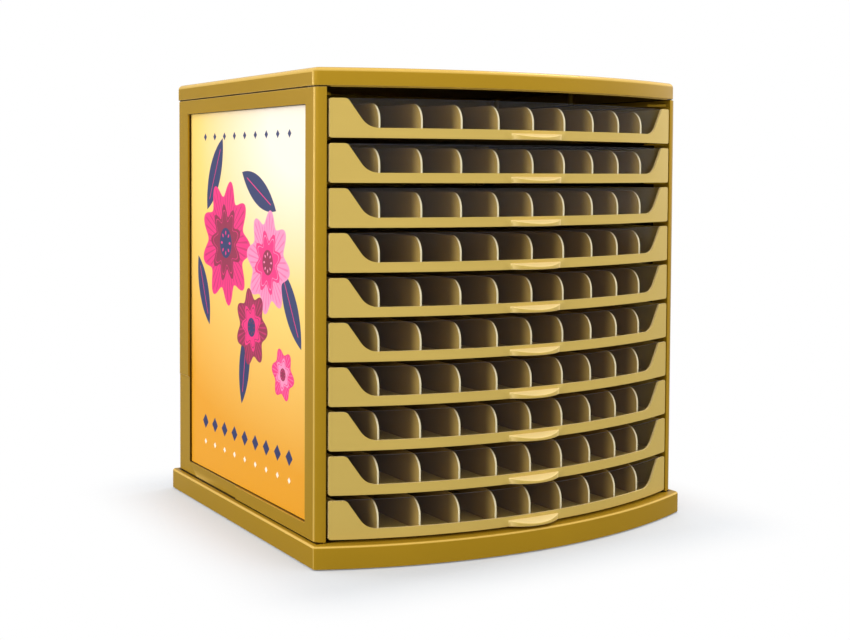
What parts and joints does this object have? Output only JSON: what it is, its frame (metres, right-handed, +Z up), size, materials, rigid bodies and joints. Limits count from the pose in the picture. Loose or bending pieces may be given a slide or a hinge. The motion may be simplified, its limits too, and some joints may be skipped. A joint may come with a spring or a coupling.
{
  "type": "thread display stand",
  "caption": "Counter-top thread display stand: a gold moulded cabinet with bowed, clear-windowed sliding drawers split into lanes, and a print panel in each side.",
  "frame": {"origin": "on the surface that the stand rests on, at the middle of its overall width and depth", "axes": "+Z up, the drawers face -Y and pull out along -Y, +X to the right as seen from the front"},
  "size_m": [0.433, 0.4205, 0.4585],
  "materials": {
    "cabinet_plastic": "gold, glossy",
    "drawer_plastic": "pale gold, satin gloss",
    "window_plastic": "clear, lightly smoked",
    "printed_card": "printed and laminated",
    "rubber": "matte black",
    "screw_steel": "zinc plated"
  },
  "bodies": {
    "cabinet": {"plinth": "cabinet_plastic", "rubber_feet": "rubber", "plinth_screws": "screw_steel", "lid": "cabinet_plastic", "left_side_wall": "cabinet_plastic", "right_side_wall": "cabinet_plastic", "back_panel": "cabinet_plastic", "back_screws": "screw_steel", "left_print_card": "printed_card", "right_print_card": "printed_card"},
    "drawer_01": {"drawer_01_tray": "drawer_plastic", "drawer_01_front": "drawer_plastic", "drawer_01_window": "window_plastic", "drawer_01_dividers": "drawer_plastic"},
    "drawer_02": {"drawer_02_tray": "drawer_plastic", "drawer_02_front": "drawer_plastic", "drawer_02_window": "window_plastic", "drawer_02_dividers": "drawer_plastic"},
    "drawer_03": {"drawer_03_tray": "drawer_plastic", "drawer_03_front": "drawer_plastic", "drawer_03_window": "window_plastic", "drawer_03_dividers": "drawer_plastic"},
    "drawer_04": {"drawer_04_tray": "drawer_plastic", "drawer_04_front": "drawer_plastic", "drawer_04_window": "window_plastic", "drawer_04_dividers": "drawer_plastic"},
    "drawer_05": {"drawer_05_tray": "drawer_plastic", "drawer_05_front": "drawer_plastic", "drawer_05_window": "window_plastic", "drawer_05_dividers": "drawer_plastic"},
    "drawer_06": {"drawer_06_tray": "drawer_plastic", "drawer_06_front": "drawer_plastic", "drawer_06_window": "window_plastic", "drawer_06_dividers": "drawer_plastic"},
    "drawer_07": {"drawer_07_tray": "drawer_plastic", "drawer_07_front": "drawer_plastic", "drawer_07_window": "window_plastic", "drawer_07_dividers": "drawer_plastic"},
    "drawer_08": {"drawer_08_tray": "drawer_plastic", "drawer_08_front": "drawer_plastic", "drawer_08_window": "window_plastic", "drawer_08_dividers": "drawer_plastic"},
    "drawer_09": {"drawer_09_tray": "drawer_plastic", "drawer_09_front": "drawer_plastic", "drawer_09_window": "window_plastic", "drawer_09_dividers": "drawer_plastic"},
    "drawer_10": {"drawer_10_tray": "drawer_plastic", "drawer_10_front": "drawer_plastic", "drawer_10_window": "window_plastic", "drawer_10_dividers": "drawer_plastic"}
  },
  "joints": [
    {"name": "drawer_01_slide", "type": "slide", "parent": "cabinet", "child": "drawer_01", "axis": [0, -1, 0], "range_m": [0, 0.26]},
    {"name": "drawer_02_slide", "type": "slide", "parent": "cabinet", "child": "drawer_02", "axis": [0, -1, 0], "range_m": [0, 0.26]},
    {"name": "drawer_03_slide", "type": "slide", "parent": "cabinet", "child": "drawer_03", "axis": [0, -1, 0], "range_m": [0, 0.26]},
    {"name": "drawer_04_slide", "type": "slide", "parent": "cabinet", "child": "drawer_04", "axis": [0, -1, 0], "range_m": [0, 0.26]},
    {"name": "drawer_05_slide", "type": "slide", "parent": "cabinet", "child": "drawer_05", "axis": [0, -1, 0], "range_m": [0, 0.26]},
    {"name": "drawer_06_slide", "type": "slide", "parent": "cabinet", "child": "drawer_06", "axis": [0, -1, 0], "range_m": [0, 0.26]},
    {"name": "drawer_07_slide", "type": "slide", "parent": "cabinet", "child": "drawer_07", "axis": [0, -1, 0], "range_m": [0, 0.26]},
    {"name": "drawer_08_slide", "type": "slide", "parent": "cabinet", "child": "drawer_08", "axis": [0, -1, 0], "range_m": [0, 0.26]},
    {"name": "drawer_09_slide", "type": "slide", "parent": "cabinet", "child": "drawer_09", "axis": [0, -1, 0], "range_m": [0, 0.26]},
    {"name": "drawer_10_slide", "type": "slide", "parent": "cabinet", "child": "drawer_10", "axis": [0, -1, 0], "range_m": [0, 0.26]}
  ]
}
